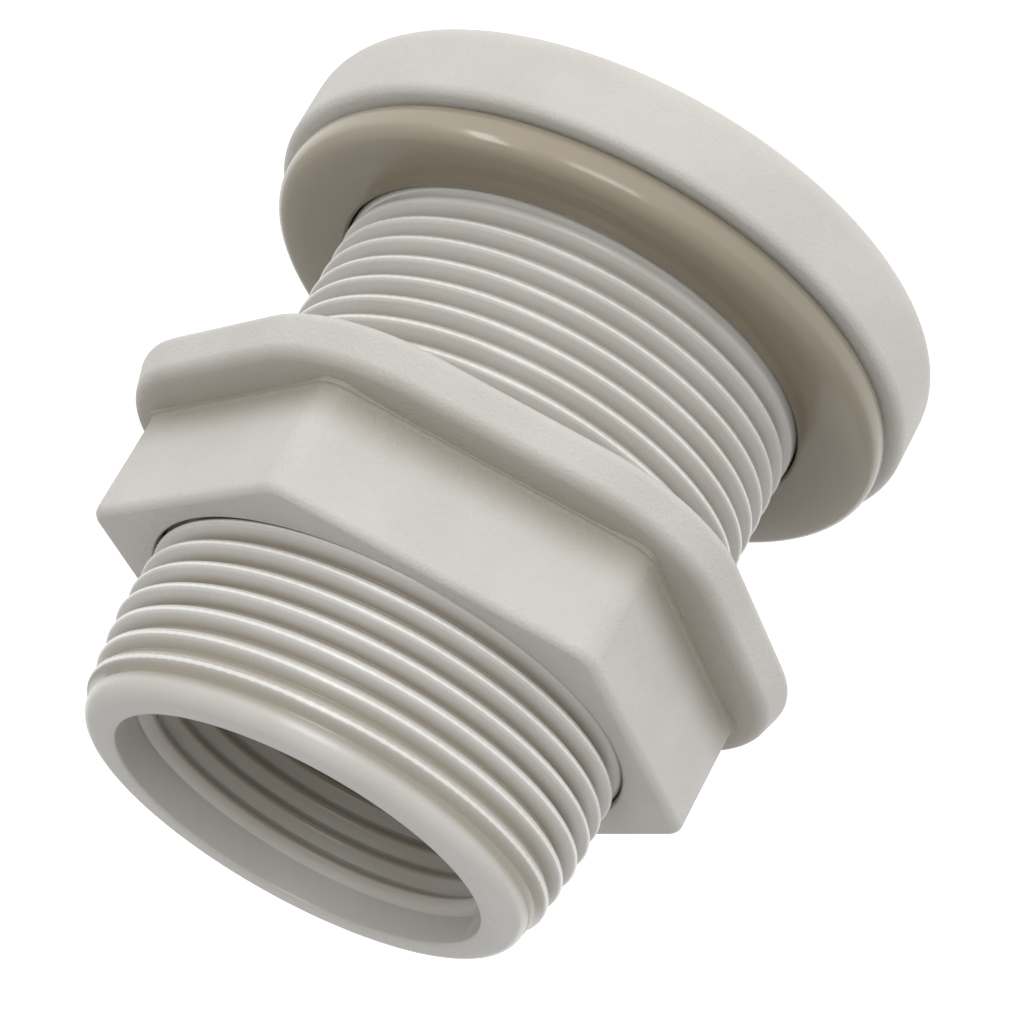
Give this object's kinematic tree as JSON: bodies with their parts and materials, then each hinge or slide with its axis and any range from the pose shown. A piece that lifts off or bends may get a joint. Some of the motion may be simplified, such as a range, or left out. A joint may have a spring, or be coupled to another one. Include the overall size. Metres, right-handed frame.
{
  "type": "tank connector",
  "caption": "Flanged threaded tank connector with a sealing gasket and a flanged hexagon nut that screws along its barrel.",
  "frame": {"origin": "centre of the head flange's outer face, which the fitting stands on", "axes": "+Z along the waterway from the head to the open threaded end; +X through two opposite corners of the nut; +Y through the middle of two of its flats"},
  "size_m": [0.0684, 0.0664, 0.068],
  "materials": {
    "moulded_plastic": "warm off-white moulding, finely grained on the head and nut, smoother on the threads",
    "seal_rubber": "glossy translucent grey-olive"
  },
  "bodies": {
    "fitting": {"body": "moulded_plastic", "gasket": "seal_rubber"},
    "clamping_nut": {"nut": "moulded_plastic"}
  },
  "joints": [
    {"name": "nut_travel", "type": "slide", "parent": "fitting", "child": "clamping_nut", "axis": [0, 0, 1], "range_m": [-0.0217, 0.017]}
  ]
}
